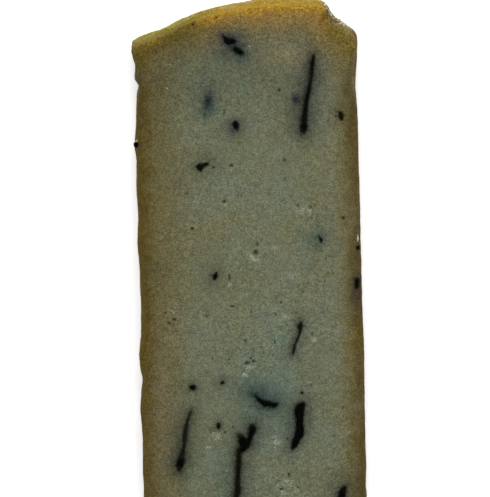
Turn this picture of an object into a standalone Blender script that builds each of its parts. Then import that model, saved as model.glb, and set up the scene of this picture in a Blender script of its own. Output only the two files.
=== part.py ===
"""A raclette cheese slice with dark mushroom shreds, lying flat with its cut face up.

The slice is cut from half a wheel: its long sides are the wheel's two flat rinds, its far end is
the wheel's bulging rim, and its near end is the cut through the wheel's middle. The cheese is one
solid. Holes are cut into its face, and the shreds that show there are fused on as low relief.

Frame: metres, +Z up. The origin is the centre of the underside, +Y points to the rim and +X goes
across the slice, from rind to rind.
"""

import math

import bmesh
import bpy
from mathutils import Vector, noise

MM = 0.001

# Driving dimensions, in metres.
WHEEL_HEIGHT = 65.6 * MM  # across the slice, from one flat rind's highest bulge to the other's
WHEEL_RADIUS = 150 * MM  # along the slice, from the wheel's middle to the rim
THICKNESS = 15 * MM
RIM_PLACE = 75.3 * MM  # the rim's farthest point, on the scale that the features below are placed on
BLOCK_LOW = Vector((-WHEEL_HEIGHT / 2, RIM_PLACE - WHEEL_RADIUS, 0))
BLOCK_HIGH = Vector((WHEEL_HEIGHT / 2, RIM_PLACE, THICKNESS))

# How far each edge is rounded, in metres, across (x), along (y) and up (z). The low ends are the
# left rind, the foot and the underside; the high ends are the right rind, the rim and the face.
LOW_ROUND = Vector((2.0, 0.8, 1.2)) * MM
HIGH_ROUND = Vector((2.0, 4.0, 2.6)) * MM

# Cuts along the block's three axes. The outer EDGE_STEPS of each lie in the rounded edge.
SEGMENTS = (24, 66, 5)
EDGE_STEPS = 2

# The rim seen from above, as (across, drop below the rim's farthest point), in millimetres.
RIM_PROFILE = [
    (-32.8, 10.4),
    (-31.5, 11.2),
    (-28.8, 10.0),
    (-24.1, 8.6),
    (-18.5, 5.8),
    (-12.7, 3.55),
    (-5.4, 1.9),
    (2.7, 0.5),
    (8.0, 0.1),
    (15.0, 0.1),
    (21.0, 0.6),
    (23.3, 1.3),
    (24.5, 2.9),
    (26.0, 5.8),
    (28.3, 7.3),
    (31.0, 9.5),
    (32.8, 10.2),
]
RIM_BLEND = 30 * MM  # the length over which the rim's curve fades into the straight block

# How far each flat rind lies inside the block's side, as (along, inset), in millimetres.
LEFT_PROFILE = [
    (-75.0, 0.5),
    (-52.7, 0.55),
    (-48.0, 0.45),
    (-44.1, 0.1),
    (-42.4, 0.15),
    (-38.0, 0.9),
    (-34.2, 1.0),
    (-31.5, 0.4),
    (-28.0, 0.15),
    (-23.0, 0.85),
    (-12.4, 1.1),
    (-7.0, 0.9),
    (-3.2, 0.9),
    (6.2, 0.55),
    (13.3, 0.85),
    (21.0, 0.55),
    (30.2, 0.85),
    (33.8, 0.3),
    (35.6, 0.6),
    (41.0, 0.95),
    (47.6, 1.15),
    (49.4, 1.6),
    (51.8, 2.15),
    (52.8, 1.75),
    (54.4, 0.8),
    (57.0, 1.1),
    (58.7, 0.95),
    (60.5, 0.4),
    (62.5, 0.0),
]
RIGHT_PROFILE = [
    (-72.0, 0.2),
    (-69.0, 0.5),
    (-61.9, 0.1),
    (-52.0, 0.27),
    (-44.0, 0.22),
    (-30.8, 0.05),
    (-24.0, 0.05),
    (-17.2, 0.28),
    (39.9, 0.4),
    (44.0, 0.5),
    (49.4, 0.95),
    (54.5, 0.75),
    (58.0, 0.25),
    (63.0, 0.0),
]
INSET_REACH = 8 * MM  # how far in from the block's side the rind's outline is felt

# The cut face is slightly wavy, and so are the rinds.
FACE_WAVE = 0.35 * MM
FACE_WAVE_LENGTH = 22 * MM
RIND_WAVE = 0.12 * MM
RIND_WAVE_LENGTH = 11 * MM
FOOT_FADE = 0.3 * MM  # the height over which the rinds' outline straightens out to the underside

# Mushroom shreds in the cut face, each a path of (across, along, width), in millimetres.
SHREDS = {
    "upper_flake": [
        (-5.9, 66.7, 0.5),
        (-5.0, 65.5, 1.2),
        (-4.5, 65.1, 1.5),
        (-3.3, 65.2, 1.2),
        (-2.6, 65.3, 0.5),
    ],
    "upper_chip": [(-2.6, 63.4, 0.4), (-2.4, 62.8, 1.1), (-1.1, 62.0, 1.1), (-0.8, 61.6, 0.4)],
    "long_strip": [
        (19.9, 60.7, 0.4),
        (19.4, 56.5, 0.6),
        (18.5, 51.3, 0.7),
        (17.5, 46.6, 0.8),
        (16.8, 41.4, 1.0),
        (16.7, 39.8, 1.6),
        (16.5, 38.7, 1.2),
    ],
    "hatchet": [(-14.4, 28.2, 0.5), (-13.4, 28.6, 1.5), (-12.1, 29.1, 0.8), (-11.1, 29.6, 0.4)],
    "hatchet_foot": [(-13.7, 28.1, 1.1), (-13.3, 27.3, 0.4)],
    "bent_strip": [
        (14.6, -18.2, 0.3),
        (14.3, -19.4, 1.1),
        (14.1, -21.5, 0.4),
        (13.1, -24.0, 0.4),
        (12.4, -26.0, 0.4),
        (12.1, -27.3, 0.3),
    ],
    "slanting_strip": [
        (0.9, -39.8, 0.3),
        (2.3, -41.2, 1.0),
        (3.7, -42.1, 1.5),
        (5.4, -42.3, 1.1),
        (6.2, -42.6, 1.3),
        (7.2, -42.2, 0.4),
    ],
    "thick_strip": [
        (14.9, -42.6, 0.7),
        (13.9, -43.3, 2.1),
        (13.4, -45.2, 2.4),
        (13.4, -48.0, 1.8),
        (13.4, -50.8, 2.2),
        (12.2, -53.6, 1.6),
        (11.2, -55.6, 0.5),
    ],
    "left_strip": [
        (-18.0, -44.1, 0.3),
        (-19.1, -47.4, 0.5),
        (-19.9, -51.5, 0.7),
        (-20.4, -55.4, 0.8),
        (-21.1, -58.6, 1.9),
        (-21.6, -60.0, 1.6),
        (-21.8, -61.1, 0.7),
    ],
    "fork_finger": [
        (-0.1, -48.9, 0.9),
        (-0.3, -49.6, 1.8),
        (-0.7, -51.4, 1.0),
        (-1.3, -52.9, 1.1),
        (-2.0, -54.3, 1.5),
    ],
    "fork_lobe": [(-3.5, -51.9, 1.5), (-3.0, -53.6, 2.1), (-3.1, -55.2, 1.7), (-3.9, -55.9, 1.2)],
    "fork_stem": [
        (-4.1, -55.6, 0.9),
        (-4.4, -59.5, 1.2),
        (-4.6, -61.8, 1.0),
        (-4.8, -66.5, 1.1),
        (-5.1, -68.5, 1.0),
        (-6.4, -73.2, 0.7),
    ],
    "foot_strip": [(26.1, -67.6, 0.6), (25.5, -68.9, 1.5), (25.1, -70.8, 1.6), (24.1, -73.3, 0.9)],
    "rind_chip": [(26.9, 43.8, 0.4), (27.5, 42.6, 1.2), (27.7, 41.4, 0.4)],
    "round_chip": [(-3.2, 41.5, 0.7), (-2.9, 40.6, 1.4), (-2.8, 39.7, 0.8)],
    "oval_chip": [(-9.6, -3.1, 0.5), (-9.9, -4.0, 1.2), (-10.2, -4.9, 0.5)],
    "small_chip": [(20.4, 6.8, 0.3), (20.9, 6.0, 0.5), (20.9, 5.4, 0.3)],
    "left_grain": [(-17.6, -36.6, 0.9), (-16.9, -36.8, 1.2)],
    "green_grain": [(-8.7, -35.6, 0.5), (-8.4, -35.4, 0.6)],
    "lower_grain": [(-10.1, -47.9, 0.8), (-10.2, -48.7, 0.7)],
    "dot_grain": [(14.3, -38.9, 0.4), (14.5, -39.1, 0.5)],
}
SHRED_FLATNESS = 0.32  # a shred's height as a share of its width
SHRED_SIDES = 1  # bevel resolution of a shred's cross-section
EDGE_GRAIN = Vector((-31.75, 35.2, 13.9)) * MM  # a grain that stands out of the left rind
EDGE_GRAIN_WIDTH = 1.9 * MM

# Holes in the cut face, as (across, along, width), in millimetres.
HOLES = [
    (-8.2, -50.3, 0.9),
    (-5.9, -4.2, 0.9),
    (-5.9, -5.3, 0.9),
    (14.4, 16.4, 0.9),
    (18.1, 16.0, 0.8),
    (-6.9, 18.0, 1.1),
    (1.9, 2.8, 1.2),
    (2.4, 5.0, 0.9),
    (-1.3, -30.0, 1.5),
    (0.4, -29.5, 1.2),
    (10.1, -63.4, 1.1),
    (12.6, -67.3, 1.0),
    (7.8, -67.5, 0.9),
    (17.7, -21.8, 0.9),
    (10.8, 29.8, 1.0),
    (-9.8, 28.2, 1.0),
    (-4.6, 28.7, 1.1),
    (-5.3, -13.0, 1.1),
]

# Holes and the edge grain are little balls.
LUMP_DETAIL = 1  # subdivisions of the sphere
LUMP_UNEVENNESS = 0.3  # how far the surface swells, as a share of the radius

# Colours are linear red, green, blue.
PASTE_COLOUR = (0.150, 0.158, 0.098)
RIND_COLOUR = (0.235, 0.150, 0.040)
SHRED_COLOUR = (0.008, 0.009, 0.008)


def material(name, colour, roughness):
    made = bpy.data.materials.new(name)
    made.use_nodes = True
    surface = made.node_tree.nodes["Principled BSDF"]
    surface.inputs["Base Color"].default_value = (*colour, 1)
    surface.inputs["Roughness"].default_value = roughness
    surface.inputs["Metallic"].default_value = 0
    made.diffuse_color = (*colour, 1)
    return made


def collection(name):
    made = bpy.data.collections.new(name)
    bpy.context.scene.collection.children.link(made)
    return made


def smooth_step(value):
    value = min(max(value, 0.0), 1.0)
    return value * value * (3 - 2 * value)


def profile_at(profile, place):
    """The depth that a profile in millimetres gives at a place in metres, as metres."""
    at = place / MM
    if at <= profile[0][0]:
        return profile[0][1] * MM
    for (low, depth_low), (high, depth_high) in zip(profile, profile[1:]):
        if at <= high:
            share = (at - low) / (high - low)
            return (depth_low + (depth_high - depth_low) * share) * MM
    return profile[-1][1] * MM


def face_wave(x, y):
    """How far the cut face lies above its mean height, in metres."""
    return FACE_WAVE * noise.noise(Vector((x, y, 0)) / FACE_WAVE_LENGTH)


def station(unit, axis):
    """The place along an axis of a cut whose unit coordinate runs from -1 to 1."""
    segments = SEGMENTS[axis]
    low_core = BLOCK_LOW[axis] + LOW_ROUND[axis]
    high_core = BLOCK_HIGH[axis] - HIGH_ROUND[axis]
    step = round((unit + 1) / 2 * segments)
    steps_left = segments - step
    if step <= EDGE_STEPS:
        return low_core - LOW_ROUND[axis] * (1 - step / EDGE_STEPS)
    if steps_left <= EDGE_STEPS:
        return high_core + HIGH_ROUND[axis] * (1 - steps_left / EDGE_STEPS)
    share = (step - EDGE_STEPS) / (segments - 2 * EDGE_STEPS)
    return low_core + (high_core - low_core) * share


def rounded(point):
    """Pulls a point on the plain block onto the block with rounded edges."""
    core, radii, out = Vector(), Vector(), Vector()
    for i in range(3):
        core[i] = min(max(point[i], BLOCK_LOW[i] + LOW_ROUND[i]), BLOCK_HIGH[i] - HIGH_ROUND[i])
        radii[i] = LOW_ROUND[i] if point[i] < core[i] else HIGH_ROUND[i]
        out[i] = (point[i] - core[i]) / radii[i]
    if out.length > 0:
        out.normalize()
    return Vector([core[i] + radii[i] * out[i] for i in range(3)])


def shaped(point):
    """Gives a point of the rounded block the slice's own outline and waves.

    The flat rinds straighten out at the underside, so that the slice lies firmly.
    """
    x, y, z = point
    near_rim = max(0.0, 1 - (BLOCK_HIGH.y - y) / RIM_BLEND)
    near_rind = smooth_step(1 - (BLOCK_HIGH.x - abs(x)) / INSET_REACH) * smooth_step(z / FOOT_FADE)
    y_shaped = y - profile_at(RIM_PROFILE, x) * near_rim
    inset = profile_at(LEFT_PROFILE if x < 0 else RIGHT_PROFILE, y_shaped)
    wave = RIND_WAVE * noise.noise(Vector((x, y_shaped, z)) / RIND_WAVE_LENGTH)
    x_shaped = x - math.copysign((inset - wave) * near_rind, x)
    return Vector((x_shaped, y_shaped, z + face_wave(x, y_shaped) * smooth_step(z / THICKNESS)))


def is_rind(face):
    """Whether a face of the slice belongs to a flat rind or to the rim, and not to a cut."""
    normal = face.normal
    return abs(normal.x) > 0.5 or normal.y > 0.4


def make_body(parts, paste, rind):
    bm = bmesh.new()
    bmesh.ops.create_cube(bm, size=2)
    for axis, segments in enumerate(SEGMENTS):
        along_axis = [e for e in bm.edges if abs((e.verts[0].co - e.verts[1].co)[axis]) > 1]
        bmesh.ops.subdivide_edges(bm, edges=along_axis, cuts=segments - 1, use_grid_fill=True)
    for vertex in bm.verts:
        place = Vector([station(vertex.co[axis], axis) for axis in range(3)])
        vertex.co = shaped(rounded(place))
    bmesh.ops.recalc_face_normals(bm, faces=bm.faces)
    for face in bm.faces:
        face.material_index = 1 if is_rind(face) else 0
    mesh = bpy.data.meshes.new("cheese_slice")
    bm.to_mesh(mesh)
    bm.free()
    mesh.materials.append(paste)
    mesh.materials.append(rind)
    body = bpy.data.objects.new("cheese_slice", mesh)
    parts.objects.link(body)
    return body


def make_shred(name, path, black, shreds):
    """A flattened tube that follows the cut face, half sunk in it, as a closed mesh."""
    curve = bpy.data.curves.new(name, "CURVE")
    curve.dimensions = "3D"
    curve.bevel_depth = 1.0
    curve.bevel_resolution = SHRED_SIDES
    curve.use_fill_caps = True
    spline = curve.splines.new("POLY")
    spline.points.add(len(path) - 1)
    for point, (across, along, width) in zip(spline.points, path):
        x, y = across * MM, along * MM
        point.co = (x, y, face_wave(x, y) / SHRED_FLATNESS, 1)
        point.radius = width / 2 * MM
    guide = bpy.data.objects.new(name, curve)
    guide.location.z = THICKNESS
    guide.scale.z = SHRED_FLATNESS
    shreds.objects.link(guide)
    bpy.context.view_layer.update()
    graph = bpy.context.evaluated_depsgraph_get()
    mesh = bpy.data.meshes.new_from_object(guide.evaluated_get(graph))
    mesh.transform(guide.matrix_world)
    bm = bmesh.new()
    bm.from_mesh(mesh)
    bmesh.ops.remove_doubles(bm, verts=bm.verts, dist=0.001 * MM)
    bmesh.ops.recalc_face_normals(bm, faces=bm.faces)
    bm.to_mesh(mesh)
    bm.free()
    mesh.materials.clear()
    mesh.materials.append(black)
    bpy.data.objects.remove(guide)
    shreds.objects.link(bpy.data.objects.new(name, mesh))


def make_lump(name, centre, width, surface, lumps):
    """A small ball with an uneven surface."""
    bm = bmesh.new()
    bmesh.ops.create_icosphere(bm, subdivisions=LUMP_DETAIL, radius=width / 2)
    for vertex in bm.verts:
        swell = LUMP_UNEVENNESS * noise.noise(vertex.co / MM + centre / (10 * MM))
        vertex.co = centre + vertex.co * (1 + swell)
    mesh = bpy.data.meshes.new(name)
    bm.to_mesh(mesh)
    bm.free()
    mesh.materials.append(surface)
    lumps.objects.link(bpy.data.objects.new(name, mesh))


def make_hole(index, across, along, width, paste, cutters):
    """A lump, half sunk in the cut face, that cuts one hole."""
    centre = Vector((across * MM, along * MM, THICKNESS))
    centre.z += face_wave(centre.x, centre.y)
    make_lump(f"hole_{index:02d}", centre, width * MM, paste, cutters)


def apply_boolean(body, operation, operands):
    """Joins or cuts with every object of the collection, then removes them."""
    modifier = body.modifiers.new(operands.name, "BOOLEAN")
    modifier.operation = operation
    modifier.operand_type = "COLLECTION"
    modifier.collection = operands
    modifier.solver = "EXACT"
    modifier.material_mode = "TRANSFER"
    bpy.context.view_layer.update()
    graph = bpy.context.evaluated_depsgraph_get()
    mesh = bpy.data.meshes.new_from_object(body.evaluated_get(graph))
    body.modifiers.clear()
    body.data = mesh
    mesh.name = body.name
    for used in list(operands.objects):
        bpy.data.objects.remove(used)
    bpy.data.collections.remove(operands)


def centre_on_origin(body):
    """Moves the mesh so that its box stands on the origin."""
    corners = [Vector(corner) for corner in body.bound_box]
    low = Vector([min(c[i] for c in corners) for i in range(3)])
    high = Vector([max(c[i] for c in corners) for i in range(3)])
    middle = (low + high) / 2
    for vertex in body.data.vertices:
        vertex.co -= Vector((middle.x, middle.y, low.z))


def main():
    for old in list(bpy.data.objects):
        bpy.data.objects.remove(old)
    paste = material("paste", PASTE_COLOUR, 0.55)
    rind = material("rind", RIND_COLOUR, 0.6)
    black = material("shred", SHRED_COLOUR, 0.7)
    parts = collection("raclette_cheese_slice")
    body = make_body(parts, paste, rind)
    cutters = collection("holes")
    for index, (across, along, width) in enumerate(HOLES):
        make_hole(index, across, along, width, paste, cutters)
    apply_boolean(body, "DIFFERENCE", cutters)
    shreds = collection("shreds")
    for name, path in SHREDS.items():
        make_shred(name, path, black, shreds)
    make_lump("edge_grain", EDGE_GRAIN, EDGE_GRAIN_WIDTH, black, shreds)
    apply_boolean(body, "UNION", shreds)
    centre_on_origin(body)


main()
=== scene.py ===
"""The looks of a raclette cheese slice with dark mushroom shreds, lying with its cut face up.

Lengths are in millimetres unless a comment says otherwise, in the frame's own axes: +Z up out of
the shown cut face, +Y along the slice to the rim, and +X across it, from one flat rind of the
wheel to the other. Meshes are turned into metres when they are made. A mask is one number for
each point of a mesh, from 0 to 1.
"""

import math

import bmesh
import bpy
import numpy as np
from mathutils import Matrix, Vector, noise


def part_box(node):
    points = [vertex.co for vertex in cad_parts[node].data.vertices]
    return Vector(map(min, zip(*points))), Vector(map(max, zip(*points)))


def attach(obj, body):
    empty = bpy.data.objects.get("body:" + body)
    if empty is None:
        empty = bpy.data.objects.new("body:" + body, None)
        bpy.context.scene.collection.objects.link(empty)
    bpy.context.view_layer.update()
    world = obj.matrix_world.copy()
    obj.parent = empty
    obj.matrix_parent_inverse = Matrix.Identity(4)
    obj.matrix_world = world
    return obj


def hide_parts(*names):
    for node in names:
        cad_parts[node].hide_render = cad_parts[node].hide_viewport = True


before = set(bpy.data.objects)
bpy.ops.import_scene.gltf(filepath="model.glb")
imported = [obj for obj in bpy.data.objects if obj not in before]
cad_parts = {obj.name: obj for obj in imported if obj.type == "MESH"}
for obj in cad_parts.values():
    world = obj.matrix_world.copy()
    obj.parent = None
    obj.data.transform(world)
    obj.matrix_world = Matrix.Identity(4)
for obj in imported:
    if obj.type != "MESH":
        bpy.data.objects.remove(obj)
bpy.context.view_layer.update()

MM = 0.001
SEED = 7

# ---- form, the same as the solid's

BLOCK_LOW = np.array((-32.8, -74.7, 0.0))
BLOCK_HIGH = np.array((32.8, 75.3, 15.0))
LOW_ROUND = np.array((2.0, 0.8, 1.2))
HIGH_ROUND = np.array((2.0, 4.0, 2.6))
THICKNESS = BLOCK_HIGH[2]

# The rim seen from above, as (across, drop below the rim's farthest point).
RIM_PROFILE = np.array([
    (-32.8, 10.4), (-31.5, 11.2), (-28.8, 10), (-24.1, 8.6), (-18.5, 5.8), (-12.7, 3.55),
    (-5.4, 1.9), (2.7, 0.5), (8, 0.1), (15, 0.1), (21, 0.6), (23.3, 1.3), (24.5, 2.9), (26, 5.8),
    (28.3, 7.3), (31, 9.5), (32.8, 10.2),
])
RIM_BLEND = 30
RIM_SOFTNESS = 0.3
RIM_OUTLINE_POINTS = 60

# How far each flat rind lies inside the block's side, as (along, inset).
LEFT_PROFILE = np.array([
    (-75, 0.5), (-52.7, 0.55), (-48, 0.45), (-44.1, 0.1), (-42.4, 0.15), (-38, 0.9), (-34.2, 1),
    (-31.5, 0.4), (-28, 0.15), (-23, 0.85), (-12.4, 1.1), (-7, 0.9), (-3.2, 0.9), (6.2, 0.55),
    (13.3, 0.85), (21, 0.55), (30.2, 0.85), (33.8, 0.3), (35.6, 0.6), (41, 0.95), (47.6, 1.15),
    (49.4, 1.6), (51.8, 2.15), (52.8, 1.75), (54.4, 0.8), (57, 1.1), (58.7, 0.95), (60.5, 0.4),
    (62.5, 0),
])
RIGHT_PROFILE = np.array([
    (-72, 0.2), (-69, 0.5), (-61.9, 0.1), (-52, 0.27), (-44, 0.22), (-30.8, 0.05), (-24, 0.05),
    (-17.2, 0.28), (39.9, 0.4), (44, 0.5), (49.4, 0.95), (54.5, 0.75), (58, 0.25), (63, 0),
])
INSET_REACH = 8
FACE_WAVE = 0.35
FACE_WAVE_LENGTH = 22
RIND_WAVE = 0.12
RIND_WAVE_LENGTH = 11
FOOT_FADE = 0.3  # the height over which the rinds straighten out to the underside

# ---- features of the shown face

# Mushroom shreds: a path of (across, along, width), and the stain round it as (reach, kind,
# strength), with a shift across and along where part of it lies to one side.
SHREDS = {
    "upper_flake": (
        [(-5.95, 66.75, 0.5), (-5.5, 66.25, 0.6), (-5.05, 65.5, 1.25), (-4.5, 65.1, 1.5),
         (-3.9, 65.2, 1.2), (-3.3, 65.25, 1.2), (-2.65, 65.3, 0.5)],
        (1.6, "violet", 1, -0.6, 0.8)),
    "upper_chip": (
        [(-2.65, 63.5, 0.3), (-2.5, 62.9, 1.1), (-1.8, 62.3, 1.1), (-1.05, 62, 1.15),
         (-0.8, 61.6, 0.4)],
        (1.3, "blue", 0.9, -0.8, 0.4)),
    "long_strip": (
        [(19.95, 60.9, 0.2), (19.85, 60.2, 0.5), (19.5, 57.8, 0.6), (19.35, 55.7, 0.5),
         (19, 53.4, 0.4), (18.5, 51.3, 0.7), (18.15, 49.5, 0.75), (17.55, 47.1, 0.75),
         (17.3, 44.8, 0.85), (17, 43, 0.95), (16.75, 41.2, 1), (16.75, 39.8, 1.6),
         (16.55, 38.7, 1.4)],
        (1.7, "smoke", 1.05, -0.4, 0)),
    "hatchet": (
        [(-14.4, 28.2, 0.3), (-14, 28.4, 1.15), (-13.45, 28.6, 1.55), (-12.8, 28.85, 1),
         (-12.1, 29.15, 0.75), (-11.5, 29.4, 0.6), (-11, 29.7, 0.2)],
        (2, "olive", 0.56)),
    "hatchet_foot": (
        [(-13.75, 28.1, 1.1), (-13.45, 27.6, 0.7), (-13.3, 27.2, 0.2)], (1.5, "olive", 0.3)),
    "bent_strip": (
        [(14.65, -18.1, 0.2), (14.55, -18.6, 0.6), (14.3, -19.4, 1.1), (14.3, -20.6, 0.55),
         (14, -21.8, 0.4), (13.45, -23, 0.4), (13.1, -24, 0.25), (12.45, -25.2, 0.45),
         (12.3, -26.6, 0.4), (12, -27.5, 0.15)],
        (1.1, "smoke", 0.8, -0.5, 0.4)),
    "slanting_strip": (
        [(0.75, -39.6, 0.15), (1.2, -40.15, 0.4), (1.9, -40.9, 0.8), (2.8, -41.55, 1.1),
         (3.7, -42.1, 1.5), (4.65, -42.1, 1.35), (5.4, -42.35, 1), (6.2, -42.6, 1.3),
         (7, -42.35, 0.6), (7.3, -42.1, 0.2)],
        (1.9, "blue", 0.95, -1, 0.6)),
    "thick_strip": (
        [(15.15, -42.5, 0.25), (14.5, -42.65, 1.2), (13.85, -43.3, 2.1), (13.45, -44.3, 2.5),
         (13.4, -45.6, 2.4), (13.5, -47, 1.9), (13.4, -48.5, 1.8), (13.5, -50, 2.15),
         (13.3, -51.3, 2.2), (12.8, -52.45, 1.75), (12.2, -53.65, 1.6), (11.8, -54.65, 1.15),
         (11.3, -55.4, 0.6), (11.1, -55.9, 0.2)],
        (1.2, "smoke", 0.85, -0.4, 0)),
    "left_strip": (
        [(-17.85, -43.7, 0.1), (-18.2, -44.6, 0.25), (-18.85, -46.1, 0.5), (-19.2, -47.6, 0.5),
         (-19.7, -49.5, 0.55), (-19.9, -51.5, 0.75), (-20.1, -53.4, 0.55), (-20.4, -55.4, 0.75),
         (-20.75, -57.1, 1.15), (-21.15, -58.6, 1.95), (-21.6, -60, 1.65), (-21.85, -61.2, 0.7)],
        (1.6, "smoke", 0.9)),
    "fork_finger": (
        [(-0.05, -48.8, 0.4), (-0.2, -49.3, 1.8), (-0.35, -50.3, 1.45), (-0.8, -51.55, 0.9),
         (-1.35, -52.95, 1.05), (-2, -54.3, 1.5)],
        (1.7, "smoke", 1, -0.6, 0)),
    "fork_lobe": (
        [(-3.6, -51.9, 1.5), (-3.25, -52.75, 2), (-3.05, -54, 2.1), (-3.1, -55.2, 1.7),
         (-3.95, -55.9, 1.3)],
        (1.2, "smoke", 0.95, -0.6, 0.6)),
    "fork_stem": (
        [(-4.15, -55.6, 0.8), (-4.35, -57.8, 1.1), (-4.45, -60, 1.2), (-4.65, -61.8, 1),
         (-4.8, -64.5, 1.1), (-4.85, -66.6, 1.15), (-5.05, -68.5, 1), (-5.7, -71, 0.95),
         (-6.4, -73.2, 0.7)],
        (1.7, "smoke", 1, -0.3, 0.4)),
    "foot_strip": (
        [(26.2, -67.4, 0.3), (26.05, -67.7, 0.8), (25.75, -68.1, 1.1), (25.5, -68.9, 1.5),
         (25.35, -70, 1.6), (24.8, -71.8, 1.6), (24.15, -73.3, 0.9)],
        (2, "smoke", 0.85)),
    "rind_chip": (
        [(26.85, 43.8, 0.3), (27.35, 43.3, 0.85), (27.5, 42.5, 1.15), (27.55, 41.75, 0.7),
         (27.8, 41.3, 0.1)],
        (0.8, "olive", 0.55)),
    "rind_grain": ([(25.95, 42.6, 0.15), (26.2, 42.5, 0.2)], (0.3, "olive", 0.3)),
    "round_chip": (
        [(-3.25, 41.5, 0.6), (-3, 40.95, 1.3), (-2.85, 40.2, 1.4), (-2.85, 39.65, 0.8)],
        (1.3, "violet", 0.95, -1.1, -0.9)),
    "oval_chip": (
        [(-9.65, -3.1, 0.5), (-9.95, -4, 1.2), (-10.2, -4.9, 0.5)], (1.8, "olive", 0.6, -0.7, 0.5)),
    "small_chip": (
        [(20.3, 7, 0.27), (20.75, 6.4, 0.56), (20.95, 6, 0.6), (20.9, 5.4, 0.28)],
        (1.6, "blue", 0.6)),
    "left_grain": (
        [(-17.6, -36.65, 0.85), (-17.1, -36.8, 1.25), (-16.8, -36.7, 0.4)], (1.3, "olive", 0.6)),
    "green_grain": ([(-8.75, -35.7, 0.55), (-8.4, -35.5, 0.6)], (1, "olive", 0.65, -0.6, 0.1)),
    "lower_grain": ([(-10.05, -47.9, 0.75), (-10.15, -48.7, 0.7)], (0.85, "olive", 0.7)),
    "dot_grain": ([(14.35, -39, 0.45), (14.45, -39.2, 0.48)], (0.5, "olive", 0.3)),
    "edge_smear": (
        [(30.95, -5.65, 0.3), (31.05, -6.2, 1.1), (31.1, -6.9, 1.05), (31, -7.7, 0.9),
         (30.9, -8.4, 0.5)],
        (0.9, "violet", 1, 0.1, -1.2)),
    "edge_dot": ([(31.4, 3.5, 0.5), (31.75, 3.4, 0.9), (32.1, 3.3, 0.6)], (0.5, "olive", 0.6)),
}

# How brown the shreds are that aren't plain black.
SHRED_BROWN = {
    "left_strip": 1.0, "fork_stem": 0.45, "foot_strip": 0.35, "rind_chip": 0.5, "edge_smear": 0.2,
    "bent_strip": 0.5, "hatchet": 0.4, "long_strip": 0.25,
}
BROWN_WIDTH = (1.2, 1.8)  # they are brown up to the first width and black from the second
THIN_WIDTH = (0.2, 0.6)  # where a shred is narrower than this, the paste shines through

# Holes: (across, along, wide, tall, lip), where lip is the height of the pale lip below the hole.
HOLES = [
    (-8.2, -50.3, 0.9, 0.9, 0.02), (-5.9, -4.6, 0.8, 2.4, 0.12), (14.4, 16.4, 0.8, 1.2, 0.16),
    (18.1, 16, 0.8, 1, 0.16), (-6.9, 18, 1.1, 1.3, 0.12), (1.9, 2.8, 1.3, 1.7, 0.18),
    (2.4, 5.2, 0.9, 1.4, 0.05), (-1.3, -30, 1.9, 1.2, 0.18), (0.5, -29.4, 1.5, 1, 0.14),
    (-0.2, -28.6, 0.8, 0.9, 0.05), (10.1, -63.4, 1, 1.5, 0.14), (12.6, -67.3, 1, 1.2, 0.1),
    (7.8, -67.5, 1, 0.9, 0.1), (17.7, -21.8, 0.8, 1, 0.16), (10.8, 29.8, 0.9, 1.2, 0.03),
    (-17.5, 20.7, 0.9, 0.9, 0.03), (-16.4, 2.4, 0.7, 1.1, 0.05), (-9.8, 28.2, 1.1, 0.9, 0.03),
    (-4.6, 28.7, 1.4, 0.9, 0.1), (9.8, -52.7, 0.9, 0.9, 0.04), (-25.6, -42.4, 0.7, 0.7, 0.02),
    (17.1, -36.9, 0.7, 0.7, 0.02), (8.9, -12.2, 0.9, 0.8, 0.05), (0.2, -14.9, 0.8, 0.8, 0.1),
    (-5.3, -13, 1.6, 0.8, 0.08), (27.4, 12.3, 1.1, 1.3, 0.02), (-16.3, 10.3, 1.2, 1.2, 0.02),
    (-22.1, -16.5, 1.6, 0.9, 0.03), (-23.6, -17.6, 1.2, 0.9, 0.03), (-5.8, -48.8, 0.8, 1, 0.03),
    (9.8, 50.6, 0.8, 0.9, 0.02), (-6.3, 45, 0.8, 0.9, 0.02), (-1.9, 19.8, 0.6, 0.7, 0.08),
    (2.5, 22.3, 0.6, 0.6, 0.04), (-1.7, -23.2, 0.9, 0.9, 0.04), (-6.5, -28.7, 0.8, 0.8, 0.04),
    (-12.6, -15.8, 0.9, 0.7, 0.04), (6.3, -27.8, 0.7, 0.9, 0.04), (5.6, -32.8, 0.7, 0.7, 0.02),
    (-14.7, 70.4, 0.9, 0.9, 0), (-8, 72.2, 0.7, 0.7, 0),
]

# Small pores, placed at random on both cut faces.
PORES = 90
PORE_ACROSS = (-28, 28)
PORE_ALONG = (-70, 60)
PORE_WIDTH = (0.45, 0.85)
PORE_STRETCH = (0.8, 1.6)
PORE_LIP = (0.0, 0.05)

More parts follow.
